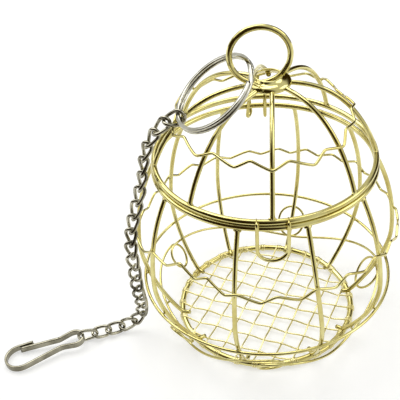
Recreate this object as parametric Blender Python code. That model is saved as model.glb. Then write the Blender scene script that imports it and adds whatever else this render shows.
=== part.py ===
"""Egg-shaped wire foraging cage with a hinged lid, hanging rings, a chain and a snap clip.

Metres, +Z up. The cage stands on its floor ring at z = 0, around the Z axis, with the clasp
at the front (-Y) and the hinge at the back (+Y). Bearings are degrees from the front towards +X.
"""
import math

import bmesh
import bpy
import numpy as np
from mathutils import Matrix, Vector

# Wires
RIM_WIRE = 0.0018
RIB_WIRE = 0.0017
TRIM_WIRE = 0.0010
BELLY_WIRE = 0.0012
FLOOR_WIRE = 0.0018
MESH_WIRE = 0.0006
CLASP_WIRE = 0.0013
HINGE_WIRE = 0.0012
CLEARANCE = 0.0003

# Bowl
EGG_RADIUS = 0.0494
EGG_WIDEST_HEIGHT = 0.0350
BOWL_RIM_RADIUS = 0.0402
BOWL_RIM_HEIGHT = 0.0720
BOWL_FOOT_FULLNESS = 1.65
# Bowl ribs: bearing at the rim, and the further turn that the foot has drifted to
BOWL_RIBS = (
    (-12.5, 0.0), (20.0, 11.0), (54.5, 6.0), (94.0, 4.5), (126.5, 0.5),
    (162.0, 2.0), (203.5, 4.0), (232.0, 6.0), (269.0, 15.0), (303.0, 8.0),
)
RIB_FOOT_RADIUS = 0.0318
BELLY_RING_HEIGHT = 0.0224
BOWL_WAVE_DEPTH = 0.0018
BOWL_WAVE_TROUGH = 0.58
# Crests of the bowl's crimped wire: bearing, share of the rim height
BOWL_WAVE_CRESTS = (
    (4.4, 0.693), (20.1, 0.702), (34.2, 0.721), (50.2, 0.717), (64.0, 0.700),
    (78.0, 0.680), (92.0, 0.655), (105.0, 0.640), (117.6, 0.652), (130.3, 0.681),
    (144.5, 0.655), (158.5, 0.642), (172.8, 0.623), (187.6, 0.609), (204.0, 0.605),
    (218.0, 0.611), (232.3, 0.621), (244.0, 0.580), (256.0, 0.558), (270.0, 0.590),
    (287.0, 0.670), (305.5, 0.724), (322.9, 0.770), (336.3, 0.750), (349.2, 0.694),
)

# Scroll wire round the lower bowl, with loops that hang from the run (1) or stand on it (-1):
# bearing, height of the middle, radius, hang, and how far the run after it dips
SCROLL_LOOPS = (
    (2.0, 0.0110, 0.0048, 1, 0.0110),
    (101.0, 0.0110, 0.0058, 1, 0.0),
    (164.0, 0.0124, 0.0056, -1, 0.0),
    (241.7, 0.0108, 0.0044, 1, 0.0),
    (308.0, 0.0094, 0.0046, -1, 0.0),
)
SCROLL_STRAND_STEP = 0.0016

# Floor
FLOOR_RING_RADIUS = 0.0347
FLOOR_FLAT_DEPTH = 0.00025
MESH_CELL = 0.0069
MESH_BEARING = -20.4

# Lid, hinged at the back of its rim
LID_RIM_INSET = 0.00035
LID_RIM_RADIUS = BOWL_RIM_RADIUS - LID_RIM_INSET
LID_DOME_HEIGHT = 0.0286
LID_DOME_FLATNESS = 3.0
LID_DOME_SHOULDER = 0.84
LID_TILT = 1.5
LID_BEARING = 3.6
LID_RIB_BEARINGS = (0.0, 45.0, 84.0, 138.0, 180.0, 228.0, 278.0, 318.0)
LID_WAVE_DEPTH = 0.0017
LID_WAVE_TROUGH = 0.40
# Outermost bends of the lid's crimped wire: bearing, share of the rim radius
LID_WAVE_CRESTS = (
    (0.1, 0.816), (23.7, 0.822), (46.0, 0.802), (67.0, 0.755), (86.0, 0.735),
    (104.0, 0.690), (121.0, 0.730), (140.0, 0.862), (160.0, 0.885), (181.0, 0.890),
    (202.0, 0.890), (222.0, 0.880), (241.0, 0.805), (262.0, 0.755), (288.0, 0.810),
    (314.4, 0.810), (339.0, 0.808),
)
# Ribs between which that wire runs straight, and how far it then lies inside the dome
LID_WAVE_SPAN = (84.0, 138.0)
LID_WAVE_SAG = 0.0042
HINGE_LOOP_SPACING = 0.0064
HINGE_LOOP_DROP = 0.0024

# Hub washer and the two rings
HUB_OUTER_RADIUS = 0.00675
HUB_HOLE_RADIUS = 0.0044
HUB_THICKNESS = 0.0010
HUB_OFFSET = 0.0031
RIB_SEAT_RADIUS = 0.0055
HANGING_RING_RADIUS = 0.01005
HANGING_RING_WIRE = 0.0017
HANGING_RING_SIDE = 0.0016
HANGING_RING_BACK = 0.0011
SPLIT_RING_RADIUS = 0.0152
SPLIT_RING_WIRE = 0.0008
SPLIT_RING_PITCH = 0.00122
SPLIT_RING_OFFSET = (-0.01522, -0.00886, -0.00870)
SPLIT_RING_NORMAL = (-0.57, -0.21, 0.80)

# Front clasp
CLASP_SPACING = 0.0103
CLASP_LENGTH = 0.0145
CLASP_BEND_HEIGHT = 0.0047
CLASP_HOOK_END = 20.0

# Chain of twisted links, from the split ring down the left side and along the floor
LINK_WIRE = 0.0011
LINK_WIDTH = 0.0044
END_LINK_WIDTH = 0.0060
LINK_PITCH = 0.00565
LINK_SLACK = 0.0007
LINK_TWIST = 90.0
LINK_COUNT = 22
CHAIN_START_BEARING = 73.0
# Steps of the route from the split ring over the lid
CHAIN_LID_STEPS = (
    (-0.0053, -0.0008, -0.0013),
    (-0.0099, -0.0019, -0.0065),
    (-0.0132, -0.0024, -0.0132),
)
# Hanging stretch of the route: share of the rim height, bearing, gap outside the bowl
CHAIN_HANG = (
    (1.021, -74.9, 0.0056),
    (0.903, -74.0, 0.0042),
    (0.778, -72.7, 0.0047),
    (0.646, -72.1, 0.0043),
    (0.500, -71.9, 0.0033),
    (0.361, -71.8, 0.00484),
    (0.243, -71.9, 0.00716),
    (0.158, -72.6, 0.01054),
)
# Floor stretch of the route: steps in X and Y from the foot of the hang, and heights
CHAIN_FLOOR = (
    (-0.0021, 0.0005, 0.0068),
    (-0.0060, 0.0005, 0.0035),
    (-0.0120, -0.0012, 0.0024),
    (-0.0178, -0.0037, 0.0026),
    (-0.0268, -0.0068, 0.0033),
)

# Snap clip bent from one flat strip
CLIP_STRIP = 0.0009
CLIP_WIDTH = 0.0018
CLIP_NOSE_RADIUS = 0.0056
CLIP_NOSE_REACH = 0.0260
CLIP_NECK_REACH = 0.0095
CLIP_NECK_HALF = 0.0022
CLIP_EYE_RADIUS = 0.0036
CLIP_HOOK_REACH = 0.0196
CLIP_HEADING = 204.2

# Mesh fineness
RING_STEPS = 40
RIB_STEPS = 12
LOOP_STEPS = 24
FLANK_STEPS = 3
CRIMP_SHARPNESS = 0.93


def clear_scene():
    for obj in list(bpy.data.objects):
        bpy.data.objects.remove(obj, do_unlink=True)


def finish(name, colour, roughness):
    material = bpy.data.materials.new(name)
    material.use_nodes = True
    shader = material.node_tree.nodes["Principled BSDF"]
    shader.inputs["Base Color"].default_value = (*colour, 1.0)
    shader.inputs["Metallic"].default_value = 1.0
    shader.inputs["Roughness"].default_value = roughness
    material.diffuse_color = (*colour, 1.0)
    return material


def add_object(name, data, material, parent, location):
    obj = bpy.data.objects.new(name, data)
    data.materials.append(material)
    bpy.context.collection.objects.link(obj)
    obj.parent = parent
    obj.location = location
    return obj


def add_empty(name, location, parent=None, rotation=(0.0, 0.0, 0.0)):
    empty = bpy.data.objects.new(name, None)
    bpy.context.collection.objects.link(empty)
    empty.parent = parent
    empty.location = location
    empty.rotation_euler = rotation
    return empty


def wire(name, points, diameter, material, closed=False, parent=None, location=(0.0, 0.0, 0.0)):
    """A round wire along points: a curve with a six-sided bevel and filled ends."""
    curve = bpy.data.curves.new(name, "CURVE")
    curve.dimensions = "3D"
    curve.bevel_depth = diameter / 2
    curve.bevel_resolution = 1
    curve.use_fill_caps = True
    spline = curve.splines.new("POLY")
    spline.points.add(len(points) - 1)
    for target, point in zip(spline.points, points):
        target.co = (*point, 1.0)
    spline.use_cyclic_u = closed
    spline.use_smooth = True
    return add_object(name, curve, material, parent, location)


def mesh_object(name, bm, material, parent=None, location=(0.0, 0.0, 0.0), smooth=True):
    bmesh.ops.recalc_face_normals(bm, faces=bm.faces)
    mesh = bpy.data.meshes.new(name)
    bm.to_mesh(mesh)
    bm.free()
    if smooth:
        mesh.shade_smooth()
        mesh.set_sharp_from_angle(angle=math.radians(50))
    return add_object(name, mesh, material, parent, location)


def turned(name, profile, material, parent=None, location=(0.0, 0.0, 0.0)):
    """A ring turned round its own Z axis from a closed outline of (radius, height) points."""
    bm = bmesh.new()
    corners = [bm.verts.new((radius, 0.0, height)) for radius, height in profile]
    edges = [bm.edges.new(pair) for pair in zip(corners, corners[1:] + corners[:1])]
    bmesh.ops.spin(
        bm,
        geom=corners + edges,
        cent=(0.0, 0.0, 0.0),
        axis=(0.0, 0.0, 1.0),
        angle=math.tau,
        steps=RING_STEPS,
        use_merge=True,
    )
    return mesh_object(name, bm, material, parent, location)


def strip(name, path, material, parent):
    """A flat strip standing on edge along a path of (x, y) points."""
    centre = [Vector((x, y)) for x, y in path]
    sides = ([], [])
    for index, point in enumerate(centre):
        before = centre[max(index - 1, 0)]
        after = centre[min(index + 1, len(centre) - 1)]
        along = (after - before).normalized()
        across = Vector((-along.y, along.x)) * CLIP_STRIP / 2
        sides[0].append(point + across)
        sides[1].append(point - across)
    outline = sides[0] + sides[1][::-1]
    last = len(outline) - 1
    bm = bmesh.new()
    corners = [bm.verts.new((point.x, point.y, -CLIP_WIDTH / 2)) for point in outline]
    quads = []
    for index in range(len(centre) - 1):
        quad = (corners[index], corners[index + 1], corners[last - index - 1], corners[last - index])
        quads.append(bm.faces.new(quad))
    raised = bmesh.ops.extrude_face_region(bm, geom=quads)["geom"]
    lifted = [item for item in raised if isinstance(item, bmesh.types.BMVert)]
    bmesh.ops.translate(bm, verts=lifted, vec=(0.0, 0.0, CLIP_WIDTH))
    return mesh_object(name, bm, material, parent)


def on_bearing(bearing, radius, height):
    angle = math.radians(bearing)
    return Vector((radius * math.sin(angle), -radius * math.cos(angle), height))


def circle(radius, height, count):
    return [on_bearing(360.0 * index / count, radius, height) for index in range(count)]


def evenly(points, count):
    """The same line as points, with count points at equal steps."""
    line = np.array([tuple(point) for point in points])
    steps = np.linalg.norm(np.diff(line, axis=0), axis=1)
    reach = np.concatenate(([0.0], np.cumsum(steps)))
    wanted = np.linspace(0.0, reach[-1], count)
    columns = [np.interp(wanted, reach, line[:, axis]) for axis in range(line.shape[1])]
    return [Vector(point) for point in np.stack(columns, axis=1)]


def ease(share):
    return share * share * (3.0 - 2.0 * share)


def crimp_bend(trough):
    """One bend of a crimped wire from crest to crest: places along it, and the rise above the trough."""
    bend = []
    for step in range(2 * FLANK_STEPS):
        turn = step / FLANK_STEPS
        swing = math.asin(CRIMP_SHARPNESS * math.cos(math.pi * turn)) / math.asin(CRIMP_SHARPNESS)
        place = trough * turn if turn < 1 else trough + (1 - trough) * (turn - 1)
        bend.append((place, (1 + swing) / 2))
    return bend


def crimped(crests, trough):
    """Bearings round a crimped wire with the share of its crests there, and the rise above the trough."""
    spots = []
    for number, (bearing, share) in enumerate(crests):
        next_bearing, next_share = crests[(number + 1) % len(crests)]
        span = (next_bearing - bearing) % 360.0
        for place, rise in crimp_bend(trough):
            spots.append((bearing + span * place, share + (next_share - share) * place, rise))
    return spots


# Bowl outline: a quarter ellipse above the widest height and a straighter curve below it
FLOOR_RING_HEIGHT = FLOOR_WIRE / 2 - FLOOR_FLAT_DEPTH
RIB_FOOT_HEIGHT = FLOOR_RING_HEIGHT + FLOOR_WIRE / 2 + CLEARANCE + RIB_WIRE / 2
BOWL_UPPER = (BOWL_RIM_HEIGHT - EGG_WIDEST_HEIGHT) / math.sqrt(1 - (BOWL_RIM_RADIUS / EGG_RADIUS) ** 2)
BOWL_FOOT_SHARE = 1 - (FLOOR_RING_RADIUS / EGG_RADIUS) ** BOWL_FOOT_FULLNESS
BOWL_LOWER = (EGG_WIDEST_HEIGHT - RIB_FOOT_HEIGHT) / BOWL_FOOT_SHARE ** (1 / BOWL_FOOT_FULLNESS)


def bowl_radius(height):
    rise = height - EGG_WIDEST_HEIGHT
    if rise > 0:
        return EGG_RADIUS * math.sqrt(1 - (rise / BOWL_UPPER) ** 2)
    share = 1 - (-rise / BOWL_LOWER) ** BOWL_FOOT_FULLNESS
    return EGG_RADIUS * share ** (1 / BOWL_FOOT_FULLNESS)


def bowl_outside(height, gap):
    """The (radius, height) that lies gap outside the bowl's outline at a height on it."""
    step = RIB_WIRE / 10
    slope = (bowl_radius(height + step) - bowl_radius(height - step)) / (2 * step)
    normal = Vector((1.0, -slope)).normalized()
    return bowl_radius(height) + gap * normal.x, height + gap * normal.y


def lid_height(radius):
    share = 1 - (radius / LID_RIM_RADIUS) ** LID_DOME_FLATNESS
    return LID_DOME_HEIGHT * max(share, 0.0) ** LID_DOME_SHOULDER


def lid_outside(radius, gap):
    """The (radius, height) that lies gap outside the lid's outline at a radius on it."""
    step = RIB_WIRE / 10
    slope = (lid_height(radius + step) - lid_height(radius - step)) / (2 * step)
    normal = Vector((-slope, 1.0)).normalized()
    return radius + gap * normal.x, lid_height(radius) + gap * normal.y


def trim_gap(trim):
    return RIB_WIRE / 2 + CLEARANCE + trim / 2


clear_scene()
gold = finish("gold_plated_steel", (0.80, 0.60, 0.22), 0.18)
nickel = finish("nickel_plated_steel", (0.60, 0.59, 0.56), 0.22)

# Bowl: rim, ribs, belly ring and crimped wire, all round the Z axis
wire("bowl_rim", circle(BOWL_RIM_RADIUS, BOWL_RIM_HEIGHT, RING_STEPS), RIM_WIRE, gold, closed=True)

rim_slope = (bowl_radius(BOWL_RIM_HEIGHT) - bowl_radius(BOWL_RIM_HEIGHT - RIM_WIRE)) / RIM_WIRE
rib_top = BOWL_RIM_HEIGHT - (RIM_WIRE / 2 + CLEARANCE) / math.hypot(1.0, rim_slope)
outline = [(bowl_radius(height), height) for height in np.linspace(rib_top, RIB_FOOT_HEIGHT, 16 * RIB_STEPS)]
rib_outline = evenly(outline, RIB_STEPS) + [Vector((RIB_FOOT_RADIUS, RIB_FOOT_HEIGHT))]
for number, (bearing, drift) in enumerate(BOWL_RIBS, start=1):
    rib = []
    for step, (radius, height) in enumerate(rib_outline):
        share = step / RIB_STEPS
        rib.append(on_bearing(bearing + drift * share**2, radius, height))
    wire(f"bowl_rib_{number:02d}", rib, RIB_WIRE, gold)

belly_radius, belly_height = bowl_outside(BELLY_RING_HEIGHT, trim_gap(BELLY_WIRE))
wire("belly_ring", circle(belly_radius, belly_height, RING_STEPS), BELLY_WIRE, gold, closed=True)

wave = []
for bearing, share, rise in crimped(BOWL_WAVE_CRESTS, BOWL_WAVE_TROUGH):
    height = share * BOWL_RIM_HEIGHT - BOWL_WAVE_DEPTH * (1 - rise)
    wave.append(on_bearing(bearing, *bowl_outside(height, trim_gap(TRIM_WIRE))))
wire("bowl_wave_wire", wave, TRIM_WIRE, gold, closed=True)

# Scroll wire: runs from loop to loop, and each loop passes outside the run that it crosses
scroll = []
for number, (bearing, middle, loop, hang, dip) in enumerate(SCROLL_LOOPS):
    next_bearing, next_middle, next_loop, next_hang, _ = SCROLL_LOOPS[(number + 1) % len(SCROLL_LOOPS)]
    loop_radius = bowl_radius(middle) + trim_gap(TRIM_WIRE)
    for step in range(LOOP_STEPS):
        turn = math.tau * step / LOOP_STEPS
        height = middle + hang * loop * math.cos(turn)
        shift = math.degrees(loop * math.sin(turn) / loop_radius)
        gap = trim_gap(TRIM_WIRE) + SCROLL_STRAND_STEP * ease(step / LOOP_STEPS)
        scroll.append(on_bearing(bearing + shift, *bowl_outside(height, gap)))
    run = (next_bearing - bearing) % 360.0
    run_start = middle + hang * loop
    run_end = next_middle + next_hang * next_loop
    run_steps = LOOP_STEPS // 2
    for step in range(run_steps):
        share = step / run_steps
        height = run_start + (run_end - run_start) * ease(share) - dip * math.sin(math.pi * share) ** 2
        gap = trim_gap(TRIM_WIRE) + SCROLL_STRAND_STEP * (1 - ease(share))
        scroll.append(on_bearing(bearing + run * share, *bowl_outside(height, gap)))
wire("scroll_wire", scroll, TRIM_WIRE, gold, closed=True)

# Floor: a ring that stands on a narrow flat, and a square mesh inside it
flat_angle = math.acos(FLOOR_RING_HEIGHT / (FLOOR_WIRE / 2))
ring_outline = []
for angle in np.linspace(flat_angle, math.tau - flat_angle, 9):
    along = FLOOR_RING_RADIUS + FLOOR_WIRE / 2 * math.sin(angle)
    ring_outline.append((along, FLOOR_RING_HEIGHT - FLOOR_WIRE / 2 * math.cos(angle)))
turned("floor_ring", ring_outline, gold)

mesh_radius = FLOOR_RING_RADIUS - FLOOR_WIRE / 2 - CLEARANCE
half_wire = MESH_WIRE / 2
bar_count = int((mesh_radius - MESH_CELL / 4) / MESH_CELL)
bm = bmesh.new()
corner_at = {}


def mesh_corner(u, v):
    key = (round(u / half_wire * 100), round(v / half_wire * 100))
    if key not in corner_at:
        corner_at[key] = bm.verts.new((u, v, 0.0))
    return corner_at[key]


def mesh_plate(low_u, low_v, high_u, high_v):
    spots = ((low_u, low_v), (high_u, low_v), (high_u, high_v), (low_u, high_v))
    bm.faces.new([mesh_corner(u, v) for u, v in spots])


def crosses(column, row):
    return math.hypot(column, row) * MESH_CELL + MESH_WIRE < mesh_radius


bars = range(-bar_count, bar_count + 1)
for column in bars:
    place = column * MESH_CELL
    end = math.sqrt(mesh_radius**2 - (abs(place) + half_wire) ** 2)
    rows = [row for row in bars if crosses(column, row)]
    stops = [-end] + [row * MESH_CELL + side for row in rows for side in (-half_wire, half_wire)] + [end]
    for index in range(len(stops) - 1):
        mesh_plate(place - half_wire, stops[index], place + half_wire, stops[index + 1])
        at_crossing = index % 2 == 1
        if not at_crossing:
            mesh_plate(stops[index], place - half_wire, stops[index + 1], place + half_wire)
raised = bmesh.ops.extrude_face_region(bm, geom=list(bm.faces))["geom"]
lifted = [item for item in raised if isinstance(item, bmesh.types.BMVert)]
bmesh.ops.translate(bm, verts=lifted, vec=(0.0, 0.0, MESH_WIRE))
mesh_height = FLOOR_RING_HEIGHT - half_wire
floor_mesh = mesh_object("floor_mesh", bm, gold, location=(0.0, 0.0, mesh_height), smooth=False)
floor_mesh.rotation_euler.z = math.radians(MESH_BEARING)

# Lid: its front rests on the bowl rim, and the hinge loops hold its back a little higher
tilt = math.radians(LID_TILT)
lid_lift = RIM_WIRE + CLEARANCE + 2 * LID_RIM_RADIUS * math.sin(tilt)
hinge_point = on_bearing(LID_BEARING + 180.0, LID_RIM_RADIUS, BOWL_RIM_HEIGHT + lid_lift)
lid_hinge = add_empty("lid_hinge", hinge_point, rotation=(tilt, 0.0, math.radians(LID_BEARING)))
LID_CENTRE = Vector((0.0, -LID_RIM_RADIUS, 0.0))
wire("lid_rim", circle(LID_RIM_RADIUS, 0.0, RING_STEPS), RIM_WIRE, gold, True, lid_hinge, LID_CENTRE)

rim_gap = RIM_WIRE / 2 + CLEARANCE
lid_rib_end = LID_RIM_RADIUS
while math.hypot(LID_RIM_RADIUS - lid_rib_end, lid_height(lid_rib_end)) < rim_gap:
    lid_rib_end -= CLEARANCE / 100
radii = RIB_SEAT_RADIUS + (lid_rib_end - RIB_SEAT_RADIUS) * np.sin(np.linspace(0, math.pi / 2, 8 * RIB_STEPS))
lid_outline = evenly([(radius, lid_height(radius)) for radius in radii], RIB_STEPS)
for number, bearing in enumerate(LID_RIB_BEARINGS, start=1):
    rib = []
    for radius, height in lid_outline:
        sideways = HUB_OFFSET * (1 - radius / LID_RIM_RADIUS)
        rib.append(on_bearing(bearing, radius, height) + Vector((sideways, 0.0, 0.0)))
    wire(f"lid_rib_{number}", rib, RIB_WIRE, gold, False, lid_hinge, LID_CENTRE)

wave = []
for bearing, share, rise in crimped(LID_WAVE_CRESTS, LID_WAVE_TROUGH):
    radius = share * LID_RIM_RADIUS - LID_WAVE_DEPTH * (1 - rise)
    radius, height = lid_outside(radius, trim_gap(TRIM_WIRE))
    across_span = (bearing % 360.0 - LID_WAVE_SPAN[0]) / (LID_WAVE_SPAN[1] - LID_WAVE_SPAN[0])
    if 0 < across_span < 1:
        height -= LID_WAVE_SAG * math.sin(math.pi * across_span)
    sideways = HUB_OFFSET * (1 - radius / LID_RIM_RADIUS)
    wave.append(on_bearing(bearing, radius, height) + Vector((sideways, 0.0, 0.0)))
wire("lid_wave_wire", wave, TRIM_WIRE, gold, True, lid_hinge, LID_CENTRE)

# Hub washer, seated on the inner ends of the lid ribs
hub_height = lid_height(RIB_SEAT_RADIUS) + RIB_WIRE / 2 + CLEARANCE
hub_edge = HUB_THICKNESS / 3
hub_outline = (
    (HUB_HOLE_RADIUS, hub_edge),
    (HUB_HOLE_RADIUS, HUB_THICKNESS - hub_edge),
    (HUB_HOLE_RADIUS + hub_edge, HUB_THICKNESS),
    (HUB_OUTER_RADIUS - hub_edge, HUB_THICKNESS),
    (HUB_OUTER_RADIUS, HUB_THICKNESS - hub_edge),
    (HUB_OUTER_RADIUS, hub_edge),
    (HUB_OUTER_RADIUS - hub_edge, 0.0),
    (HUB_HOLE_RADIUS + hub_edge, 0.0),
)
turned("hub_washer", hub_outline, gold, lid_hinge, LID_CENTRE + Vector((HUB_OFFSET, 0.0, hub_height)))

# Hinge loops: two long wire loops round both rims, fixed to the bowl rim
loop_half = (RIM_WIRE + HINGE_WIRE) / 2 + 2 * CLEARANCE
loop_top = lid_lift
loop_bottom = -HINGE_LOOP_DROP
loop_path = []
for step in range(LOOP_STEPS // 2):
    angle = math.tau * (step + 0.5) / (LOOP_STEPS // 2)
    centre = loop_top if math.sin(angle) > 0 else loop_bottom
    loop_path.append((loop_half * math.cos(angle), centre + loop_half * math.sin(angle)))
loop_radius = (BOWL_RIM_RADIUS + LID_RIM_RADIUS) / 2
hinge_frame = add_empty(
    "hinge_frame",
    on_bearing(LID_BEARING + 180.0, loop_radius, BOWL_RIM_HEIGHT),
    rotation=(0.0, 0.0, math.radians(LID_BEARING)),
)
for name, side in (("hinge_loop_left", -1), ("hinge_loop_right", 1)):
    place = (side * HINGE_LOOP_SPACING / 2, 0.0, 0.0)
    wire(name, [Vector((0.0, y, z)) for y, z in loop_path], HINGE_WIRE, gold, True, hinge_frame, place)

# Front clasp: a U of wire whose two ends hook over the lid rim and whose legs hang before both rims
half_space = CLASP_SPACING / 2
rim_front = -math.sqrt(LID_RIM_RADIUS**2 - half_space**2)
bowl_front = -math.sqrt(BOWL_RIM_RADIUS**2 - half_space**2)
leg_front = bowl_front - RIM_WIRE / 2 - CLASP_WIRE / 2 - CLEARANCE
hook_radius = rim_front - leg_front
hook = []
for angle in np.linspace(math.radians(CLASP_HOOK_END), math.pi, 8):
    hook.append(Vector((half_space, hook_radius * math.cos(angle), hook_radius * math.sin(angle))))
bend_start = CLASP_LENGTH - CLASP_BEND_HEIGHT
right_leg = hook + [Vector((half_space, -hook_radius, -bend_start / 2))]
bend = []
for angle in np.linspace(0.0, math.pi, 11):
    drop = bend_start + CLASP_BEND_HEIGHT * math.sin(angle)
    bend.append(Vector((half_space * math.cos(angle), -hook_radius, -drop)))
left_leg = [Vector((-point.x, point.y, point.z)) for point in right_leg[::-1]]
clasp_pivot = add_empty("clasp_pivot", LID_CENTRE + Vector((0.0, rim_front, 0.0)), lid_hinge)
clasp_pivot.rotation_euler.x = -tilt
wire("front_clasp", right_leg + bend + left_leg, CLASP_WIRE, gold, parent=clasp_pivot)

# Hanging ring: passes down the hub's hole, under its left side and up again
ring_bore = HANGING_RING_RADIUS - HANGING_RING_WIRE / 2 - CLEARANCE
hub_left = HUB_OFFSET - (HUB_OUTER_RADIUS + HUB_HOLE_RADIUS) / 2
hub_half_width = (HUB_OUTER_RADIUS - HUB_HOLE_RADIUS) / 2
ring_rise = math.sqrt(ring_bore**2 - (hub_half_width + HANGING_RING_SIDE) ** 2)
ring_centre = Vector((hub_left + HANGING_RING_SIDE, HANGING_RING_BACK, hub_height + ring_rise))
ring_foot = ring_centre - Vector((0.0, 0.0, HANGING_RING_RADIUS))
ring_pivot = add_empty("hanging_ring_pivot", LID_CENTRE + ring_foot, lid_hinge)
hoop = []
for step in range(RING_STEPS):
    angle = math.tau * step / RING_STEPS
    swing = Vector((math.sin(angle), 0.0, 1.0 - math.cos(angle)))
    hoop.append(HANGING_RING_RADIUS * swing)
wire("hanging_ring", hoop, HANGING_RING_WIRE, gold, True, ring_pivot)

# Split ring: two turns of wire, linked through the hanging ring and leaning on the lid
bpy.context.view_layer.update()
slide_centre = ring_pivot.matrix_world @ Vector((0.0, 0.0, HANGING_RING_RADIUS))
split_slide = add_empty("split_ring_slide", slide_centre)
split_centre = slide_centre + Vector(SPLIT_RING_OFFSET)
split_axis = Vector(SPLIT_RING_NORMAL).normalized()
split_side = split_axis.cross(Vector((0.0, 0.0, 1.0))).normalized()
split_down = split_axis.cross(split_side)


def on_split_ring(bearing, radius, lift=0.0):
    angle = math.radians(bearing)
    swing = split_side * math.cos(angle) + split_down * math.sin(angle)
    return split_centre + radius * swing + lift * split_axis


coil = []
coil_steps = 2 * LOOP_STEPS
for step in range(coil_steps + 1):
    share = step / coil_steps
    lift = SPLIT_RING_PITCH * (2 * share - 1)
    coil.append(on_split_ring(720.0 * share, SPLIT_RING_RADIUS, lift) - slide_centre)
coil_gap = (Vector(coil[LOOP_STEPS]) - Vector(coil[0])).length - SPLIT_RING_WIRE
print(f"split ring: least gap between its turns {coil_gap * 1000:.2f} mm")
wire("split_ring", coil, SPLIT_RING_WIRE, nickel, parent=split_slide)

# Chain: link k runs straight from joint k to joint k + 1 on the route
link_reach = (LINK_WIRE + LINK_SLACK) / 2
link_bend = (LINK_WIDTH - LINK_WIRE) / 2
end_bend = (END_LINK_WIDTH - LINK_WIRE) / 2
link_room = end_bend - LINK_WIRE / 2 - 2 * CLEARANCE
ring_depth = math.sqrt((link_room - SPLIT_RING_WIRE / 2) ** 2 - (SPLIT_RING_PITCH / 2) ** 2)
ring_hold = end_bend - link_reach - ring_depth
ring_middle = SPLIT_RING_PITCH * (CHAIN_START_BEARING / 360.0 - 0.5)
chain_hook = on_split_ring(CHAIN_START_BEARING, SPLIT_RING_RADIUS, ring_middle)
chain_start = chain_hook - Vector(CHAIN_LID_STEPS[0]).normalized() * ring_hold
waypoints = [chain_start]
for step in CHAIN_LID_STEPS:
    waypoints.append(chain_hook + Vector(step))
for share, bearing, gap in CHAIN_HANG:
    height = share * BOWL_RIM_HEIGHT
    waypoints.append(on_bearing(bearing, bowl_radius(height) + gap, height))
hang_foot = waypoints[-1]
for step_x, step_y, height in CHAIN_FLOOR:
    waypoints.append(Vector((hang_foot.x + step_x, hang_foot.y + step_y, height)))


def smooth_route(points, per_span):
    """Points on a smooth curve through the route's own points."""
    ends = [2 * points[0] - points[1]] + points + [2 * points[-1] - points[-2]]
    smooth = []
    for index in range(len(points) - 1):
        p0, p1, p2, p3 = ends[index:index + 4]
        for step in range(per_span):
            t = step / per_span
            bend_out = 2 * p0 - 5 * p1 + 4 * p2 - p3
            bend_in = 3 * p1 - p0 - 3 * p2 + p3
            smooth.append((2 * p1 + t * (p2 - p0) + t * t * bend_out + t**3 * bend_in) / 2)
    return smooth + [points[-1]]


route = smooth_route(waypoints, 12)
joints = [route[0]]
for point in route:
    if len(joints) <= LINK_COUNT and (point - joints[-1]).length >= LINK_PITCH:
        step = (point - joints[-1]).normalized()
        joints.append(joints[-1] + step * LINK_PITCH)
while len(joints) <= LINK_COUNT:
    joints.append(joints[-1] + (joints[-1] - joints[-2]).normalized() * LINK_PITCH)

link_half = LINK_PITCH / 2 + link_reach


def link_path(bends, twist):
    """A link along X from its start bend to its end bend, with its end turned by twist about X."""
    path = []
    for side, turn, bend in ((1, -90.0, bends[1]), (-1, 90.0, bends[0])):
        for angle in np.radians(turn + np.linspace(0.0, 180.0, 6)):
            along = side * (link_half - bend) + bend * math.cos(angle)
            turned_by = math.radians(twist) * (along / link_half + 1) / 2
            across = bend * math.sin(angle)
            path.append(Vector((along, across * math.cos(turned_by), across * math.sin(turned_by))))
    return path


axes = [(after - before).normalized() for before, after in zip(joints, joints[1:])]
widths = [split_axis.cross(axes[0]).cross(axes[0]).normalized()]
for before, after in zip(axes, axes[1:]):
    widths.append(before.rotation_difference(after) @ widths[-1])
upright = axes[-1].cross(Vector((0.0, 0.0, 1.0)).cross(axes[-1])).normalized()
if widths[-1].dot(upright) < 0:
    upright = -upright
spare = math.copysign(widths[-1].angle(upright), widths[-1].cross(upright).dot(axes[-1]))
for number in range(1, LINK_COUNT + 1):
    axis = axes[number - 1]
    roll = spare * (number - 1) / (LINK_COUNT - 1)
    width = Matrix.Rotation(roll, 3, axis) @ widths[number - 1]
    frame = Matrix((axis, width, axis.cross(width))).transposed()
    middle = (joints[number] - joints[number - 1]) / 2
    start_bend = end_bend if number == 1 else link_bend
    last_bend = end_bend if number == LINK_COUNT else link_bend
    twist = 0.0 if number == LINK_COUNT else LINK_TWIST
    link = [middle + frame @ point for point in link_path((start_bend, last_bend), twist)]
    name = f"chain_link_{number:02d}"
    wire(name, link, LINK_WIRE, nickel, closed=True, location=joints[number - 1])

# Snap clip: one bent strip with an eye round the last link, lying nose down on the floor
eye_depth = math.sqrt(link_room**2 - (CLIP_WIDTH / 2) ** 2) - CLIP_STRIP / 2
eye_hold = end_bend - link_reach - eye_depth
eye_back = joints[-1] - axes[-1] * eye_hold
nose_drop = eye_back.z - CLIP_WIDTH / 2 - CLEARANCE / 2
clip_dip = math.asin(nose_drop / (CLIP_NOSE_REACH + CLIP_NOSE_RADIUS))
heading = math.radians(CLIP_HEADING)
clip_frame = add_empty("clip_pivot", eye_back, rotation=(0.0, clip_dip, heading))
eye_turn = math.acos((CLIP_EYE_RADIUS - CLIP_STRIP) / (CLIP_NECK_REACH - CLIP_EYE_RADIUS))
eye = []
for angle in np.linspace(-eye_turn, eye_turn - math.tau, 13):
    eye.append((CLIP_EYE_RADIUS * (1 + math.cos(angle)), CLIP_EYE_RADIUS * math.sin(angle)))
nose = []
for angle in np.linspace(100.0, -100.0, 13):
    reach = CLIP_NOSE_REACH + CLIP_NOSE_RADIUS * math.cos(math.radians(angle))
    nose.append((reach, CLIP_NOSE_RADIUS * math.sin(math.radians(angle))))
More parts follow.
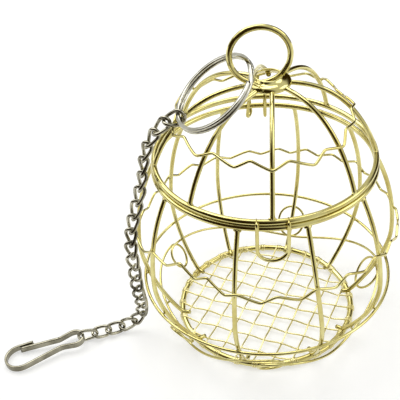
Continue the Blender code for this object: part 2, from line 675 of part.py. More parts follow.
neck_far = [(CLIP_NECK_REACH, -CLIP_NECK_HALF)]
neck_near = [(CLIP_NECK_REACH, CLIP_NECK_HALF)]
hook_tab = [(CLIP_HOOK_REACH, nose[-1][1] + CLIP_STRIP / 4)]
strip("clip_body", neck_far + eye + neck_near + nose + hook_tab, nickel, clip_frame)

gate_root = CLIP_NECK_REACH + 2 * CLEARANCE
gate_tip = CLIP_NOSE_REACH - CLIP_STRIP
gate_end = hook_tab[0][1] + CLIP_STRIP + CLEARANCE
gate_frame = add_empty("clip_gate_pivot", (gate_root, -CLIP_NECK_HALF, 0.0), clip_frame)
gate_path = [(0.0, 0.0), (gate_tip - gate_root, gate_end + CLIP_NECK_HALF)]
strip("clip_gate", [tuple(point) for point in evenly(gate_path, 4)], nickel, gate_frame)
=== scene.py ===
"""Egg-shaped gold wire foraging basket with a hinged lid, two hanging rings, a chain and a snap clip.

Metres, +Z up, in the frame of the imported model. Bearings are degrees from the front (-Y) towards +X.
"""
import math

import bpy
import numpy as np
from mathutils import Matrix, Vector


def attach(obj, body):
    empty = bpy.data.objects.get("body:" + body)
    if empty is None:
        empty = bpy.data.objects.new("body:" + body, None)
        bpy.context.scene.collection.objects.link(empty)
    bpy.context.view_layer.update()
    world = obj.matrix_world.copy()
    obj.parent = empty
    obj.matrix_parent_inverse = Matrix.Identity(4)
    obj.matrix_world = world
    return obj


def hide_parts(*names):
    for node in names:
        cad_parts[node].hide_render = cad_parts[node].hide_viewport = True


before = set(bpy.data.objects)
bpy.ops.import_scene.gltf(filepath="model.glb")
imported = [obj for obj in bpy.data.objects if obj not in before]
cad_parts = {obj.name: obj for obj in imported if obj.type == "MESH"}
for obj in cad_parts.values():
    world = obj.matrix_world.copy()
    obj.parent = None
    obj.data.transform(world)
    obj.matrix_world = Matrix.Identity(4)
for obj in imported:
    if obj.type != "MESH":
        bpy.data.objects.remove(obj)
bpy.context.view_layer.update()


# Camera: looks down over the clasp from the front, with the basket right of the middle.
# It turns a little to the left and leans a little, as a camera held in the hand does.
CAMERA_PLACE = Vector((0.0, -0.2357, 0.2270))
CAMERA_YAW = -0.103
CAMERA_PITCH = 0.630
CAMERA_LEAN = -0.075
CAMERA_LENS_MM = 69.5
CAMERA_SENSOR_MM = 36.0
CAMERA_NEAR = 0.01


def set_out(name, data):
    """A new object in the scene."""
    made = bpy.data.objects.new(name, data)
    bpy.context.collection.objects.link(made)
    return made


ahead = Vector((
    math.sin(CAMERA_YAW) * math.cos(CAMERA_PITCH),
    math.cos(CAMERA_YAW) * math.cos(CAMERA_PITCH),
    -math.sin(CAMERA_PITCH),
))
level = Vector((math.cos(CAMERA_YAW), -math.sin(CAMERA_YAW), 0.0))
camera_right = level * math.cos(CAMERA_LEAN) + level.cross(ahead) * math.sin(CAMERA_LEAN)
camera_up = camera_right.cross(ahead)
camera_turn = Matrix((camera_right, camera_up, -ahead)).transposed().to_4x4()
camera_data = bpy.data.cameras.new("camera")
camera_data.lens = CAMERA_LENS_MM
camera_data.sensor_width = CAMERA_SENSOR_MM
camera_data.clip_start = CAMERA_NEAR
camera = set_out("camera", camera_data)
camera.matrix_world = Matrix.Translation(CAMERA_PLACE) @ camera_turn
bpy.context.scene.camera = camera
bpy.context.scene.view_settings.view_transform = "Standard"


# Floor: a sheet of matt white paper that the basket stands on. Its front edge lies a little below
# the view, so the front wires mirror the dim room beyond it. It keeps the shadow under the basket.
SHEET_FRONT = -0.15
SHEET_BACK = 0.50
SHEET_HALF = 2.0
FLOOR_DROP = 0.00005
PAPER_COLOUR = "#CBCBC9"
PAPER_ROUGHNESS = 0.9
PAPER_SHINE = 0.2
# How strongly the sheet glows for the camera and for mirrors, near the basket and far from it.
PAPER_GLOW = 0.53
PAPER_FAR_GLOW = 0.95
PAPER_NEAR = 0.35
PAPER_FAR = 1.0
# Uncoated paper gives the eye a soft white without gloss. Its fibres, about 0.03 mm wide, are drawn
# coarser so that they show.
PAPER_FIBRE_MM = 0.9
MM_IN_METRE = 1000.0


def linear(hex_colour):
    """The linear colour of an sRGB hex value."""
    parts = [int(hex_colour[place:place + 2], 16) / 255 for place in (1, 3, 5)]
    return [part / 12.92 if part <= 0.04045 else ((part + 0.055) / 1.055) ** 2.4 for part in parts] + [1.0]


def add_node(tree, kind, settings=None, links=None):
    """A shader node with its settings, by attribute or socket, and the links into its sockets."""
    made = tree.nodes.new(kind)
    for key, value in (settings or {}).items():
        if isinstance(key, int) or key in made.inputs:
            made.inputs[key].default_value = value
        else:
            setattr(made, key, value)
    for key, source in (links or {}).items():
        tree.links.new(source, made.inputs[key])
    return made


paper = bpy.data.materials.new("matt_white_paper")
paper.use_nodes = True
tree = paper.node_tree
shader = tree.nodes["Principled BSDF"]
for key, value in (
    ("Base Color", linear(PAPER_COLOUR)), ("Emission Color", (1.0, 1.0, 1.0, 1.0)),
    ("Roughness", PAPER_ROUGHNESS), ("Specular IOR Level", PAPER_SHINE),
):
    shader.inputs[key].default_value = value
rays = add_node(tree, "ShaderNodeLightPath")
seen = add_node(tree, "ShaderNodeMath", {"operation": "MAXIMUM"},
                {0: rays.outputs["Is Camera Ray"], 1: rays.outputs["Is Glossy Ray"]})
seen = add_node(tree, "ShaderNodeMath", {"operation": "MAXIMUM"},
                {0: seen.outputs[0], 1: rays.outputs["Is Transmission Ray"]})
place = add_node(tree, "ShaderNodeTexCoord")
away = add_node(tree, "ShaderNodeVectorMath", {"operation": "LENGTH"}, {0: place.outputs["Object"]})
fade = add_node(tree, "ShaderNodeMapRange", {
    "From Min": PAPER_NEAR, "From Max": PAPER_FAR, "To Min": PAPER_GLOW, "To Max": PAPER_FAR_GLOW,
}, {"Value": away.outputs["Value"]})
glow = add_node(tree, "ShaderNodeMath", {"operation": "MULTIPLY"},
                {0: seen.outputs[0], 1: fade.outputs["Result"]})
tree.links.new(glow.outputs[0], shader.inputs["Emission Strength"])
fibre = add_node(tree, "ShaderNodeTexNoise", {"Scale": MM_IN_METRE / PAPER_FIBRE_MM, "Detail": 3.0},
                 {"Vector": place.outputs["Object"]})
relief = add_node(tree, "ShaderNodeBump", {"Strength": 0.1, "Distance": 0.0001}, {"Height": fibre.outputs[0]})
tree.links.new(relief.outputs[0], shader.inputs["Normal"])

sheet = bpy.data.meshes.new("paper_floor")
front_corners = [(side * SHEET_HALF, SHEET_FRONT, -FLOOR_DROP) for side in (-1, 1)]
back_corners = [(side * SHEET_HALF, SHEET_BACK, -FLOOR_DROP) for side in (1, -1)]
sheet.from_pydata(front_corners + back_corners, [], [(0, 1, 2, 3)])
sheet.materials.append(paper)
paper_floor = set_out("paper_floor", sheet)


# Studio: a pale surround with a dim brown room in front to the left and a dim doorway behind to the
# right, one large soft box above the back and two smaller ones at the sides. Polished wire shows
# the surround and the boxes as bright edges and the room as a dark core.
# Direction of each dim part, and the cosines of the angles off it at which it starts and is full.
DIM_PARTS = (
    ((-0.60, -0.78, 0.10), 0.24, 0.62),
    ((0.62, 0.78, 0.05), 0.74, 0.92),
)
ROOM_COLOUR = "#322400"
SURROUND_COLOUR = "#E2E2DD"
FILL_COLOUR = "#969694"
# Place, side and watts of each lamp.
SOFT_BOXES = (
    ("soft_box_left", (-1.32, 0.20, 1.12), 1.00, 4.2),
    ("soft_box_right", (1.32, 0.00, 1.04), 1.00, 5.4),
    ("soft_box_top", (-0.44, 0.68, 1.60), 1.60, 19.0),
)
LAMP_AIM = Vector((0.0, 0.0, 0.05))

world = bpy.data.worlds.new("white_surround")
world.use_nodes = True
tree = world.node_tree
tree.nodes.clear()
place = add_node(tree, "ShaderNodeTexCoord")
dim_shares = []
for direction, start, full in DIM_PARTS:
    towards = add_node(tree, "ShaderNodeVectorMath", {"operation": "DOT_PRODUCT", 1: direction},
                       {0: place.outputs["Generated"]})
    share = add_node(tree, "ShaderNodeMapRange", {
        "interpolation_type": "SMOOTHSTEP", "From Min": start, "From Max": full,
    }, {"Value": towards.outputs["Value"]})
    dim_shares.append(share.outputs["Result"])
dim = add_node(tree, "ShaderNodeMath", {"operation": "MAXIMUM"}, {0: dim_shares[0], 1: dim_shares[1]})
mirrored = add_node(tree, "ShaderNodeMix", {
    "data_type": "RGBA", 6: linear(SURROUND_COLOUR), 7: linear(ROOM_COLOUR),
}, {0: dim.outputs[0]})
rays = add_node(tree, "ShaderNodeLightPath")
seen = add_node(tree, "ShaderNodeMath", {"operation": "MAXIMUM"},
                {0: rays.outputs["Is Camera Ray"], 1: rays.outputs["Is Transmission Ray"]})
lit = add_node(tree, "ShaderNodeMix", {"data_type": "RGBA", 6: linear(FILL_COLOUR)},
               {0: rays.outputs["Is Glossy Ray"], 7: mirrored.outputs[2]})
shown = add_node(tree, "ShaderNodeMix", {"data_type": "RGBA", 7: (1.0, 1.0, 1.0, 1.0)},
                 {0: seen.outputs[0], 6: lit.outputs[2]})
background = add_node(tree, "ShaderNodeBackground", links={"Color": shown.outputs[2]})
add_node(tree, "ShaderNodeOutputWorld", links={"Surface": background.outputs[0]})
bpy.context.scene.world = world

for name, spot, size, power in SOFT_BOXES:
    lamp_data = bpy.data.lights.new(name, "AREA")
    lamp_data.size = size
    lamp_data.energy = power
    lamp = set_out(name, lamp_data)
    lamp.location = spot
    lamp.rotation_euler = (LAMP_AIM - Vector(spot)).to_track_quat("-Z", "Y").to_euler()


# Floor ring and mesh: a steel hoop with a square-woven wire mesh. The end of each mesh wire is
# wrapped tight round the hoop, which gives the edge its notched, bound look.
FLOOR_RING_RADIUS = 0.0347
FLOOR_CORE_WIRE = 0.0024
MESH_WIRE = 0.0007
MESH_CELL = 0.0069
MESH_BEARING = math.radians(-20.4)
MESH_BARS = 4
WEAVE_STEPS = 8
WRAP_TURNS = 2.3
WRAP_STEPS = 44
# Rise of the weave and step of the wraps, in mesh wires; stop of the weave before the hoop, in hoop wires.
WEAVE_RISE = 0.52
WRAP_PITCH = 1.1
WEAVE_MARGIN = 2.2
FLOOR_CORE_HEIGHT = (FLOOR_CORE_WIRE + MESH_WIRE) / 2
PLATE_LIGHT = "#DFD797"
PLATE_DEEP = "#C2B46D"
# The mesh wire's two tints are painted paler than the plate's, as painted glare on the mesh and its wraps.
MESH_PAINTED_GLARE_LIGHT = "#F1E9B8"
MESH_PAINTED_GLARE_DEEP = "#E0D596"
# Size of a patch of even tint in the plating, and length and spacing of the lines left by the die.
PLATE_PATCH_MM = 11.0
DIE_LINE_LENGTH_MM = 9.0
DIE_LINE_SPACING_MM = 0.14
# Bulge of a wire's cut end in half wires, and the shares of it at which its dome is drawn.
END_BULGE = 0.6
DOME_RISES = (0.6, 0.9)


def plated_steel(name, light, deep, patch_mm, smooth, worn):
    """Drawn steel wire, bright-dipped and electroplated: a mirror-like metal coat whose tint drifts
    from place to place, over faint lines left by the drawing die. Real die lines are about 0.02 mm
    apart; they are drawn coarser here so that they show."""
    finish = bpy.data.materials.new(name)
    finish.use_nodes = True
    tree = finish.node_tree
    shader = tree.nodes["Principled BSDF"]
    shader.inputs["Metallic"].default_value = 1.0
    place = add_node(tree, "ShaderNodeTexCoord")
    cloud = add_node(tree, "ShaderNodeTexNoise", {
        "Scale": MM_IN_METRE / patch_mm, "Detail": 4.0, "Roughness": 0.6,
    }, {"Vector": place.outputs["Object"]})
    drift = add_node(tree, "ShaderNodeMapRange", {"From Min": 0.34, "From Max": 0.66},
                     {"Value": cloud.outputs[0]})
    tint = add_node(tree, "ShaderNodeMix", {"data_type": "RGBA", 6: linear(light), 7: linear(deep)},
                    {0: drift.outputs["Result"]})
    tree.links.new(tint.outputs[2], shader.inputs["Base Color"])
    stretch = add_node(tree, "ShaderNodeMapping", {
        "Scale": (1 / DIE_LINE_LENGTH_MM, 1 / DIE_LINE_SPACING_MM, 1.0),
    }, {"Vector": place.outputs["UV"]})
    die_lines = add_node(tree, "ShaderNodeTexNoise", {"Scale": 1.0, "Detail": 2.0},
                         {"Vector": stretch.outputs[0]})
    scuffs = add_node(tree, "ShaderNodeMath", {"operation": "MULTIPLY"},
                      {0: die_lines.outputs[0], 1: cloud.outputs[0]})
    wear = add_node(tree, "ShaderNodeMapRange", {
        "From Min": 0.12, "From Max": 0.42, "To Min": smooth, "To Max": worn,
    }, {"Value": scuffs.outputs[0]})
    tree.links.new(wear.outputs["Result"], shader.inputs["Roughness"])
    relief = add_node(tree, "ShaderNodeBump", {"Strength": 0.12, "Distance": 0.00003},
                      {"Height": die_lines.outputs[0]})
    tree.links.new(relief.outputs[0], shader.inputs["Normal"])
    return finish


# Gold plate gives the eye a clear yellow mirror, pale where it faces light and near black in the gaps.
gold_plate = plated_steel("gold_plated_steel", PLATE_LIGHT, PLATE_DEEP, PLATE_PATCH_MM,
                          smooth=0.07, worn=0.19)


def round_wire(diameter, sides=14):
    """The outline of a round wire, as (across, upright) points."""
    turns = np.arange(sides) * math.tau / sides
    return diameter / 2 * np.stack([np.cos(turns), np.sin(turns)], axis=1)


def walked(points):
    """How far along a line each of its points lies."""
    return np.concatenate(([0.0], np.cumsum(np.linalg.norm(np.diff(points, axis=0), axis=1))))


def drawn_along(line, outline, closed=False, upright=None, girth=None):
    """A solid drawn along a line: the outline set square to it, with domed ends where it is open.
    Gives its corners, its faces, and the surface unrolled in millimetres."""
    line = np.array(line)
    count = len(line)
    steps = np.roll(line, -1, axis=0) - np.roll(line, 1, axis=0) if closed else np.gradient(line, axis=0)
    along = steps / np.linalg.norm(steps, axis=1)[:, None]
    if upright is None:
        up = [np.eye(3)[np.argmin(np.abs(along[0]))]]
        for index in range(count + 1):
            square = up[-1] - along[index % count] * up[-1].dot(along[index % count])
            up.append(square / np.linalg.norm(square))
        up = up[1:]
        if closed:
            twist = math.atan2(np.cross(up[count], up[0]).dot(along[0]), up[count].dot(up[0]))
            turns = [Matrix.Rotation(twist * i / count, 3, Vector(along[i])) for i in range(count)]
            up = [turn @ Vector(square) for turn, square in zip(turns, up)]
        up = np.array(up[:count])
    else:
        up = np.broadcast_to(np.array(upright, dtype=float), (count, 3))
        up = up - along * np.sum(up * along, axis=1)[:, None]
        up = up / np.linalg.norm(up, axis=1)[:, None]
    across = np.cross(up, along)
    girth = np.ones(count) if girth is None else np.array(girth)
    rings = [line[i] + girth[i] * (outline[:, :1] * across[i] + outline[:, 1:] * up[i]) for i in range(count)]
    reach = MM_IN_METRE * walked(np.concatenate((line, line[:1])) if closed else line)
    around = MM_IN_METRE * walked(np.concatenate((outline, outline[:1])))
    dome = np.abs(outline).max(axis=0).min()
    poles = []
    if not closed:
        for end, sense in ((0, -1), (count - 1, 1)):
            caps = []
            for rise in DOME_RISES:
                centre = line[end] + sense * along[end] * dome * END_BULGE * rise * girth[end]
                caps.append(centre + (rings[end] - line[end]) * math.sqrt(1 - rise**2))
            poles.append(line[end] + sense * along[end] * dome * END_BULGE * girth[end])
            rings = caps[::-1] + rings if end == 0 else rings + caps
        reach = np.concatenate(([reach[0]] * 2, reach, [reach[-1]] * 2))
    sides = len(outline)
    corners = np.concatenate(rings)
    faces = []
    unrolled = []
    for i in range(len(rings) if closed else len(rings) - 1):
        after = (i + 1) % len(rings)
        for j in range(sides):
            beside = (j + 1) % sides
            faces.append((i * sides + j, i * sides + beside, after * sides + beside, after * sides + j))
            unrolled += [(reach[i], around[j]), (reach[i], around[j + 1])]
            unrolled += [(reach[i + 1], around[j + 1]), (reach[i + 1], around[j])]
    if not closed:
        first, last = len(corners), len(corners) + 1
        corners = np.concatenate((corners, poles))
        ring = (len(rings) - 1) * sides
        for j in range(sides):
            beside = (j + 1) % sides
            faces += [(first, beside, j), (ring + j, ring + beside, last)]
            for end in (reach[0], reach[-1]):
                unrolled += [(end, around[j]), (end, around[j + 1]), (end, around[j])]
    return corners, faces, unrolled


def make_piece(name, solids, finish):
    """One object from drawn solids, shaded smooth, in one finish."""
    corners, faces, unrolled = [], [], []
    for solid_corners, solid_faces, solid_unrolled in solids:
        shift = len(corners)
        corners.extend(map(tuple, solid_corners))
        faces.extend(tuple(corner + shift for corner in face) for face in solid_faces)
        unrolled.extend(solid_unrolled)
    mesh = bpy.data.meshes.new(name)
    mesh.from_pydata(corners, [], faces)
    layer = mesh.uv_layers.new(name="unrolled_mm")
    layer.data.foreach_set("uv", np.array(unrolled, dtype=np.float32).ravel())
    mesh.shade_smooth()
    mesh.materials.append(finish)
    return set_out(name, mesh)


def closed_wire(name, line, diameter, sides=14, girth=None):
    """A gold-plated wire bent along a line and welded shut."""
    solid = drawn_along(line, round_wire(diameter, sides), closed=True, girth=girth)
    return make_piece(name, [solid], gold_plate)


def on_bearing(bearing, radius, height):
    angle = math.radians(bearing)
    return Vector((radius * math.sin(angle), -radius * math.cos(angle), height))


def hoop(radius, height, count=180):
    return [on_bearing(360.0 * step / count, radius, height) for step in range(count)]


floor_ring = closed_wire("floor_hoop", hoop(FLOOR_RING_RADIUS, FLOOR_CORE_HEIGHT), FLOOR_CORE_WIRE)
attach(floor_ring, "bowl")
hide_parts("floor_ring")


def wrapped_end(tip, side):
    """The end of a mesh wire, from the mesh over the hoop and round it."""
    centre = Vector((tip.x, tip.y, FLOOR_CORE_HEIGHT))
    outward = Vector((tip.x, tip.y, 0.0)).normalized()
    sideways = Vector((-outward.y, outward.x, 0.0)) * side
    gap = FLOOR_CORE_WIRE / 2
    path = []
    for step in range(WRAP_STEPS + 1):
        turn = math.tau * WRAP_TURNS * step / WRAP_STEPS
        drift = sideways * MESH_WIRE * WRAP_PITCH * turn / math.tau
        path.append(centre + gap * (outward * math.sin(turn) + Vector((0.0, 0.0, math.cos(turn)))) + drift)
    return path


woven = []
mesh_turn = Matrix.Rotation(MESH_BEARING, 3, "Z")
for warp in (True, False):
    for bar in range(-MESH_BARS, MESH_BARS + 1):
        offset = bar * MESH_CELL
        end = math.sqrt(FLOOR_RING_RADIUS**2 - offset**2)
        weave_end = end - WEAVE_MARGIN * FLOOR_CORE_WIRE
        count = 2 * int(weave_end / MESH_CELL * WEAVE_STEPS) + 1
        sense = 1 if (bar % 2 == 0) == warp else -1
        path = []
        for reach in np.linspace(-weave_end, weave_end, count):
            lift = sense * MESH_WIRE * WEAVE_RISE * math.cos(math.pi * reach / MESH_CELL)
            spot = (offset, reach) if warp else (reach, offset)
            path.append(mesh_turn @ Vector((*spot, FLOOR_CORE_HEIGHT + lift)))
        ends = []
        for reach in (-end, end):
            spot = (offset, reach) if warp else (reach, offset)
            tip = mesh_turn @ Vector((*spot, 0.0))
            ends.append(wrapped_end(tip, 1 if bar >= 0 else -1))
        line = ends[0][::-1] + path + ends[1]
        woven.append(drawn_along(line, round_wire(MESH_WIRE, 8)))
# The fine wire takes no polish, so it looks softer than the ribs. Its paler tints are painted glare.
mesh_painted_glare_plate = plated_steel("gold_plated_mesh_wire_painted_glare", MESH_PAINTED_GLARE_LIGHT, MESH_PAINTED_GLARE_DEEP, PLATE_PATCH_MM,
                          smooth=0.18, worn=0.34)
floor_weave = make_piece("floor_weave", woven, mesh_painted_glare_plate)
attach(floor_weave, "bowl")
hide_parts("floor_mesh")


# Bowl rim: a hoop of heavy wire, butt-welded into a ring; a slight swelling is left where its two
# ends met at the back.
RIM_WIRE = 0.0021
BOWL_RIM_RADIUS = 0.0402
BOWL_RIM_HEIGHT = 0.0720
RIM_SEAM_BEARING = 146.0
SEAM_SWELL = 0.10
SEAM_LENGTH = 0.0011


def seamed_hoop(name, line, diameter, seam_bearing):
    """A hoop of wire with the swelling of its butt weld at a bearing."""
    radius = line[0].to_2d().length
    girth = []
    for step in range(len(line)):
        away = abs((360.0 * step / len(line) - seam_bearing + 180.0) % 360.0 - 180.0)
        girth.append(1 + SEAM_SWELL * math.exp(-(math.radians(away) * radius / SEAM_LENGTH) ** 2))
    return closed_wire(name, line, diameter, girth=girth)


bowl_rim_line = hoop(BOWL_RIM_RADIUS, BOWL_RIM_HEIGHT)
bowl_rim = seamed_hoop("bowl_rim_hoop", bowl_rim_line, RIM_WIRE, RIM_SEAM_BEARING)
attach(bowl_rim, "bowl")
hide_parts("bowl_rim")


# Bowl ribs: ten bent wires between the rim and the floor hoop, some leaning towards the foot. The
# welding jaws press the top of each into two small ears, and the foot turns in over the hoop.
RIB_WIRE = 0.0017
CLEARANCE = 0.0003
EGG_RADIUS = 0.0494
EGG_WIDEST_HEIGHT = 0.0350
BOWL_FOOT_FULLNESS = 1.65
RIB_FOOT_RADIUS = 0.0318
RIB_FOOT_HEIGHT = 0.0027
# Bearing at the rim, and how far the rib drifts from it at the foot.
BOWL_RIBS = (
    (-12.5, 0.0), (20.0, 11.0), (54.5, 6.0), (94.0, 4.5), (126.5, 0.5),
    (162.0, 2.0), (203.5, 4.0), (232.0, 6.0), (269.0, 15.0), (303.0, 8.0),
)
RIB_STEPS = 90
EAR_REACH = 0.0012
EAR_WIRE = 0.0015
EAR_TAPER = 0.45
BOWL_UPPER = (BOWL_RIM_HEIGHT - EGG_WIDEST_HEIGHT) / math.sqrt(1 - (BOWL_RIM_RADIUS / EGG_RADIUS) ** 2)
BOWL_FOOT_SHARE = 1 - (FLOOR_RING_RADIUS / EGG_RADIUS) ** BOWL_FOOT_FULLNESS
BOWL_LOWER = (EGG_WIDEST_HEIGHT - RIB_FOOT_HEIGHT) / BOWL_FOOT_SHARE ** (1 / BOWL_FOOT_FULLNESS)


def bowl_radius(height):
    """The radius of the bowl's outline at a height: an ellipse above the widest part, straighter below."""
    rise = height - EGG_WIDEST_HEIGHT
    if rise > 0:
        return EGG_RADIUS * math.sqrt(1 - (rise / BOWL_UPPER) ** 2)
    share = 1 - (-rise / BOWL_LOWER) ** BOWL_FOOT_FULLNESS
    return EGG_RADIUS * share ** (1 / BOWL_FOOT_FULLNESS)


def bowl_outside(height, gap):
    """The (radius, height) that lies gap outside the bowl's outline at a height on it."""
    step = RIB_WIRE / 10
    slope = (bowl_radius(height + step) - bowl_radius(height - step)) / (2 * step)
    normal = Vector((1.0, -slope)).normalized()
    return bowl_radius(height) + gap * normal.x, height + gap * normal.y


def evenly(points, count):
    """The same line as points, with count points at equal steps."""
    line = np.array(points)
    reach = walked(line)
    wanted = np.linspace(0.0, reach[-1], count)
    return [Vector([np.interp(step, reach, column) for column in line.T]) for step in wanted]


def softened(points, passes, closed=True):
    """The same line with its corners worn round; an open line keeps its two ends."""
    line = np.array(points)
    for _ in range(passes):
        worn = (np.roll(line, 1, axis=0) + 2 * line + np.roll(line, -1, axis=0)) / 4
        line = worn if closed else np.concatenate((line[:1], worn[1:-1], line[-1:]))
    return [Vector(point) for point in line]


def eared_rib(name, line):
    """A rib of wire, with the two small ears that the welding jaws squeeze out of its end along the rim."""
    middle = line[0]
    sideways = Vector((-middle.y, middle.x, 0.0)).normalized() * EAR_REACH
    shares = np.linspace(-1.0, 1.0, 9)
    ears = [middle + sideways * share for share in shares]
    return make_piece(name, [
        drawn_along(line, round_wire(RIB_WIRE)),
        drawn_along(ears, round_wire(EAR_WIRE, 10), girth=1 - EAR_TAPER * shares**2),
    ], gold_plate)


rib_top = BOWL_RIM_HEIGHT - RIM_WIRE / 2
heights = np.linspace(rib_top, RIB_FOOT_HEIGHT, 2 * RIB_STEPS)
outline = [(bowl_radius(height), height) for height in heights] + [(RIB_FOOT_RADIUS, RIB_FOOT_HEIGHT)]
rib_outline = softened(evenly(outline, RIB_STEPS), passes=4, closed=False)
bowl_rib_lines = []
for number, (bearing, drift) in enumerate(BOWL_RIBS, start=1):
    line = []
    for step, (radius, height) in enumerate(rib_outline):
        line.append(on_bearing(bearing + drift * (step / RIB_STEPS) ** 2, radius, height))
    bowl_rib_lines.append(line)
    rib = eared_rib(f"bowl_rib_wire_{number:02d}", line)
    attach(rib, "bowl")
    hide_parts(f"bowl_rib_{number:02d}")


# Belly ring: a thinner hoop round the outside of the ribs, below the widest part, spot-welded to
# each rib that it crosses.
BELLY_WIRE = 0.0012
BELLY_RING_HEIGHT = 0.0224
BELLY_SEAM_BEARING = 222.0
belly_line = hoop(*bowl_outside(BELLY_RING_HEIGHT, RIB_WIRE / 2 + CLEARANCE + BELLY_WIRE / 2))
belly_ring = seamed_hoop("belly_hoop", belly_line, BELLY_WIRE, BELLY_SEAM_BEARING)
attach(belly_ring, "bowl")
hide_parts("belly_ring")


# Bowl wave: a thin wire crimped into a zigzag with round corners, laid round the ribs above the
# belly by hand, so its line wanders; spot-welded to the ribs.
TRIM_WIRE = 0.0010
TRIM_GAP = RIB_WIRE / 2 + CLEARANCE + TRIM_WIRE / 2
BOWL_WAVE_BITE = 0.0002
BOWL_WAVE_GAP = (RIB_WIRE + TRIM_WIRE) / 2 - BOWL_WAVE_BITE
BOWL_WAVE_DEPTH = 0.0024
BOWL_WAVE_TROUGH = 0.58
CRIMP_SHARPNESS = 0.985
FLANK_STEPS = 10
# Bearing of each crest, and its height as a share of the rim's.
BOWL_WAVE_CRESTS = (
    (4.4, 0.693), (20.1, 0.702), (34.2, 0.721), (50.2, 0.717), (64.0, 0.700),
    (78.0, 0.680), (92.0, 0.655), (105.0, 0.640), (117.6, 0.652), (130.3, 0.681),
    (144.5, 0.655), (158.5, 0.642), (172.8, 0.623), (187.6, 0.609), (204.0, 0.605),
    (218.0, 0.611), (232.3, 0.621), (244.0, 0.580), (256.0, 0.558), (270.0, 0.590),
    (287.0, 0.670), (305.5, 0.724), (322.9, 0.770), (336.3, 0.750), (349.2, 0.694),
)


def crimped(crests, trough):
    """Bearings round a crimped wire, the share of its crests there, and its rise above the trough."""
    spots = []
    for number, (bearing, share) in enumerate(crests):
        next_bearing, next_share = crests[(number + 1) % len(crests)]
        span = (next_bearing - bearing) % 360.0
        for step in range(2 * FLANK_STEPS):
            turn = step / FLANK_STEPS
            swing = math.asin(CRIMP_SHARPNESS * math.cos(math.pi * turn)) / math.asin(CRIMP_SHARPNESS)
            along = trough * turn if turn < 1 else trough + (1 - trough) * (turn - 1)
            spots.append((bearing + span * along, share + (next_share - share) * along, (1 + swing) / 2))
    return spots


wave = []
for bearing, share, rise in crimped(BOWL_WAVE_CRESTS, BOWL_WAVE_TROUGH):
    height = share * BOWL_RIM_HEIGHT - BOWL_WAVE_DEPTH * (1 - rise)
    wave.append(on_bearing(bearing, *bowl_outside(height, BOWL_WAVE_GAP)))
bowl_wave_line = softened(wave, passes=1)
bowl_wave = closed_wire("bowl_crimped_wire", bowl_wave_line, TRIM_WIRE, sides=10)
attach(bowl_wave, "bowl")
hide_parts("bowl_wave_wire")


# Scroll wire: one thin wire round the foot of the bowl, bent into five round loops that stand on
# the run or hang from it; each loop crosses outside its own run.
# Loop's bearing, middle height and radius, whether it hangs (1) or stands (-1), and the dip of the
# run that follows it.
SCROLL_LOOPS = (
    (2.0, 0.0110, 0.0048, 1, 0.0110),
    (101.0, 0.0110, 0.0058, 1, 0.0),
    (164.0, 0.0124, 0.0056, -1, 0.0),
    (241.7, 0.0108, 0.0044, 1, 0.0),
    (308.0, 0.0094, 0.0046, -1, 0.0),
)
SCROLL_STRAND_STEP = 0.0016
SCROLL_STEPS = 48


def ease(share):
    return share * share * (3.0 - 2.0 * share)


scroll = []
for number, (bearing, middle, loop, hang, dip) in enumerate(SCROLL_LOOPS):
    next_bearing, next_middle, next_loop, next_hang, _ = SCROLL_LOOPS[(number + 1) % len(SCROLL_LOOPS)]
    loop_radius = bowl_radius(middle) + TRIM_GAP
    for step in range(SCROLL_STEPS):
        turn = math.tau * step / SCROLL_STEPS
        height = middle + hang * loop * math.cos(turn)
        shift = math.degrees(loop * math.sin(turn) / loop_radius)
        gap = TRIM_GAP + SCROLL_STRAND_STEP * ease(step / SCROLL_STEPS)
        scroll.append(on_bearing(bearing + shift, *bowl_outside(height, gap)))
    run = (next_bearing - bearing) % 360.0
    run_start = middle + hang * loop
    run_end = next_middle + next_hang * next_loop
    for step in range(SCROLL_STEPS):
        share = step / SCROLL_STEPS
        height = run_start + (run_end - run_start) * ease(share) - dip * math.sin(math.pi * share) ** 2
        gap = TRIM_GAP + SCROLL_STRAND_STEP * (1 - ease(share))
        scroll.append(on_bearing(bearing + run * share, *bowl_outside(height, gap)))
scroll_line = softened(scroll, passes=2)
scroll_wire = closed_wire("scroll_bent_wire", scroll_line, TRIM_WIRE, sides=10)
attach(scroll_wire, "bowl")
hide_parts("scroll_wire")


# Bowl welds: the small lenses of melted steel left by spot welding where the belly ring, the wave and
# the scroll cross the ribs, plated over with them.
BEAD_WIDTH = 0.0012
BEAD_WAIST = 0.72
BEAD_FLARE = 1.5
BEAD_OVERLAP = 0.0007
WELD_REACH = 0.0022
SCROLL_WELD_REACH = 0.0024


def weld_spots(line, other, closest):
    """Places where two lines pass each other closer than closest: the middle, and the way across."""
    line, other = np.array(line), np.array(other)
    apart = np.linalg.norm(line[:, None] - other[None], axis=2)
    nearest = [math.inf, *apart.min(axis=1), math.inf]
    spots = []
    for index, point in enumerate(line):
        before, here, after = nearest[index:index + 3]
        if here < closest and here < before and here <= after:
            match = other[apart[index].argmin()]
            spots.append((Vector((point + match) / 2), Vector(match - point)))
    return spots


def weld_bead(spot, across):
    """A small lens of melted metal that bridges two wires."""
    half = across.length / 2 - BEAD_OVERLAP / 2
    shares = np.linspace(-1.0, 1.0, 7)
    line = [spot + across.normalized() * half * share for share in shares]
    girth = BEAD_WAIST + (1 - BEAD_WAIST) * np.abs(shares) ** BEAD_FLARE
    return drawn_along(line, round_wire(BEAD_WIDTH, 10), girth=girth)


def weld_beads(ribs, trims):
    """The beads where ribs meet trim wires, each of which comes with its reach for a weld."""
    beads = []
    for line in ribs:
        for trim, reach in trims:
            beads += [weld_bead(spot, across) for spot, across in weld_spots(line, trim, reach)]
    return beads


bowl_trims = ((belly_line, WELD_REACH), (bowl_wave_line, WELD_REACH), (scroll_line, SCROLL_WELD_REACH))
bowl_welds = make_piece("bowl_weld_beads", weld_beads(bowl_rib_lines, bowl_trims), gold_plate)
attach(bowl_welds, "bowl")


